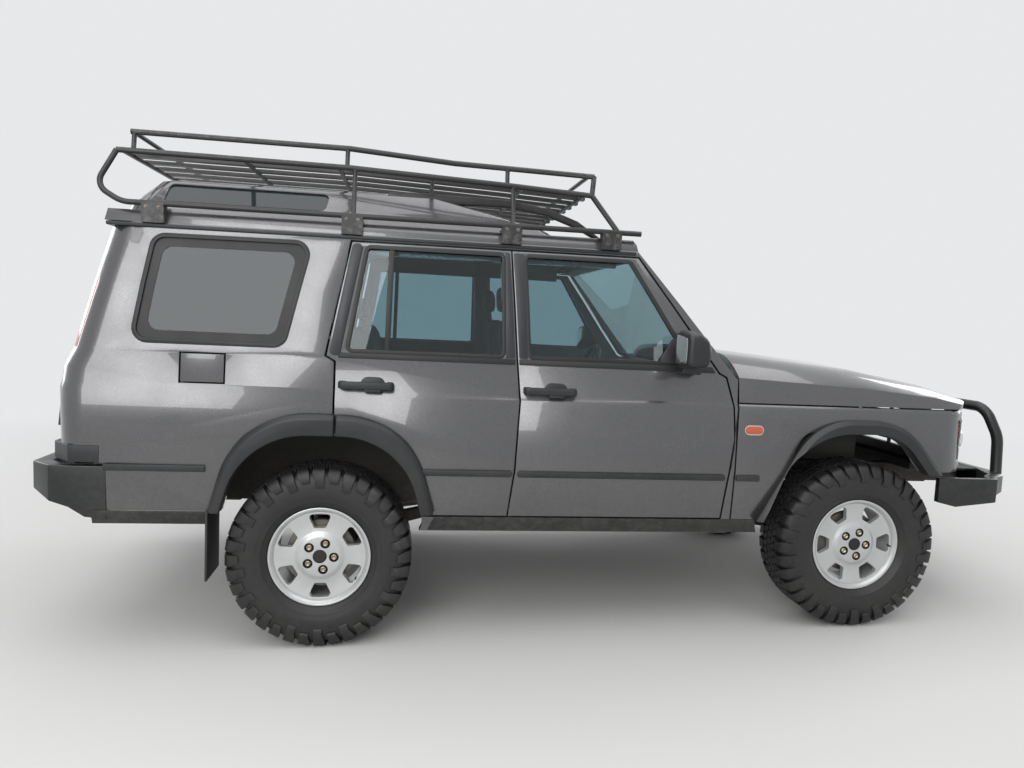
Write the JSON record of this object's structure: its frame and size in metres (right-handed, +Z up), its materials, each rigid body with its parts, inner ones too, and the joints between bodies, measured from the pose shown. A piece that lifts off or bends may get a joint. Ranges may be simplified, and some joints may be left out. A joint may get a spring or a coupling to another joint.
{
  "type": "lifted off-road 4x4 estate car",
  "caption": "Lifted four-wheel-drive estate car with opening doors, steering and rolling wheels, steel bumpers and a full-length roof rack.",
  "frame": {"origin": "on the ground under the middle of the whole vehicle", "axes": "+X forward, +Y to the vehicle's left, +Z up"},
  "size_m": [4.6763, 2.19, 2.2251],
  "materials": {
    "body_paint": "metallic grey",
    "chassis_black": "satin black",
    "bumper_steel": "black powder coat",
    "rack_black": "black powder coat",
    "black_plastic": "grained",
    "dash_plastic": "grained",
    "lamp_clear": "clear lens",
    "lamp_red": "red lens",
    "glass": "tinted",
    "seat_cloth": "woven",
    "engine_metal": "cast",
    "exhaust_steel": "dull",
    "spring_steel": "satin",
    "alloy": "painted silver",
    "tyre_rubber": "rubber"
  },
  "bodies": {
    "root": {"chassis_frame": "chassis_black", "floor_pan": "body_paint", "body_side_right": "body_paint", "body_side_left": "body_paint", "roof_panel": "body_paint", "front_wing_right": "body_paint", "front_wing_left": "body_paint", "front_panel": "black_plastic", "headlamps": "lamp_clear", "tail_lamps": "lamp_red", "front_bumper": "bumper_steel", "rear_bumper": "bumper_steel", "body_trim": "black_plastic", "wheel_flares": "black_plastic", "roof_rack": "rack_black", "rack_guard": "rack_black", "body_glass": "glass", "seats": "seat_cloth", "dashboard": "dash_plastic", "powertrain": "engine_metal", "exhaust": "exhaust_steel", "fuel_tank": "black_plastic", "prop_shafts": "chassis_black", "front_axle": "chassis_black", "rear_axle": "chassis_black", "suspension": "spring_steel"},
    "bonnet": {"bonnet": "body_paint"},
    "tail_door": {"tail_door": "body_paint", "tail_door_glass": "glass", "tail_door_trim": "black_plastic"},
    "fuel_flap": {"fuel_flap": "body_paint"},
    "door_front_right": {"door_front_right": "body_paint", "door_front_right_glass": "glass", "door_front_right_trim": "black_plastic"},
    "door_front_left": {"door_front_left": "body_paint", "door_front_left_glass": "glass", "door_front_left_trim": "black_plastic"},
    "door_rear_right": {"door_rear_right": "body_paint", "door_rear_right_glass": "glass", "door_rear_right_trim": "black_plastic"},
    "door_rear_left": {"door_rear_left": "body_paint", "door_rear_left_glass": "glass", "door_rear_left_trim": "black_plastic"},
    "knuckle_right": {"knuckle_right": "engine_metal"},
    "knuckle_left": {"knuckle_left": "engine_metal"},
    "wheel_front_right": {"tyre_front_right": "tyre_rubber", "rim_front_right": "alloy"},
    "wheel_front_left": {"tyre_front_left": "tyre_rubber", "rim_front_left": "alloy"},
    "wheel_rear_right": {"tyre_rear_right": "tyre_rubber", "rim_rear_right": "alloy"},
    "wheel_rear_left": {"tyre_rear_left": "tyre_rubber", "rim_rear_left": "alloy"}
  },
  "joints": [
    {"name": "door_front_right_hinge", "type": "hinge", "parent": "root", "child": "door_front_right", "pos_m": [0.68541, -0.905, 0.88592], "axis": [0.0255, 0, 0.9997], "range_deg": [0, 70]},
    {"name": "door_front_left_hinge", "type": "hinge", "parent": "root", "child": "door_front_left", "pos_m": [0.68541, 0.905, 0.88592], "axis": [-0.0255, 0, -0.9997], "range_deg": [0, 70]},
    {"name": "door_rear_right_hinge", "type": "hinge", "parent": "root", "child": "door_rear_right", "pos_m": [-0.31427, -0.905, 0.91145], "axis": [0.0255, 0, 0.9997], "range_deg": [0, 65]},
    {"name": "door_rear_left_hinge", "type": "hinge", "parent": "root", "child": "door_rear_left", "pos_m": [-0.31427, 0.905, 0.91145], "axis": [-0.0255, 0, -0.9997], "range_deg": [0, 65]},
    {"name": "bonnet_hinge", "type": "hinge", "parent": "root", "child": "bonnet", "pos_m": [0.7456, 0, 1.28451], "axis": [0, -1, 0], "range_deg": [0, 55]},
    {"name": "tail_door_hinge", "type": "hinge", "parent": "root", "child": "tail_door", "pos_m": [-2.23609, -0.64, 1.06058], "axis": [0.0255, 0, 0.9997], "range_deg": [0, 85]},
    {"name": "fuel_flap_hinge", "type": "hinge", "parent": "root", "child": "fuel_flap", "pos_m": [-1.54259, -0.886, 1.22792], "axis": [0.0255, 0, 0.9997], "range_deg": [0, 90]},
    {"name": "steering_right", "type": "hinge", "parent": "root", "child": "knuckle_right", "pos_m": [1.3926, -0.69, 0.402], "axis": [0, 0, 1], "range_deg": [-30, 30]},
    {"name": "steering_left", "type": "hinge", "parent": "root", "child": "knuckle_left", "pos_m": [1.3926, 0.69, 0.402], "axis": [0, 0, 1], "range_deg": [-30, 30]},
    {"name": "wheel_front_right_spin", "type": "hinge", "parent": "knuckle_right", "child": "wheel_front_right", "pos_m": [1.3926, -0.77, 0.402], "axis": [0, 1, 0], "continuous": true},
    {"name": "wheel_front_left_spin", "type": "hinge", "parent": "knuckle_left", "child": "wheel_front_left", "pos_m": [1.3926, 0.77, 0.402], "axis": [0, 1, 0], "continuous": true},
    {"name": "wheel_rear_right_spin", "type": "hinge", "parent": "root", "child": "wheel_rear_right", "pos_m": [-1.1474, -0.78, 0.402], "axis": [0, 1, 0], "continuous": true},
    {"name": "wheel_rear_left_spin", "type": "hinge", "parent": "root", "child": "wheel_rear_left", "pos_m": [-1.1474, 0.78, 0.402], "axis": [0, 1, 0], "continuous": true}
  ],
  "couplings": [
    {"joint": "steering_left", "follows": "steering_right", "ratio": 1}
  ]
}
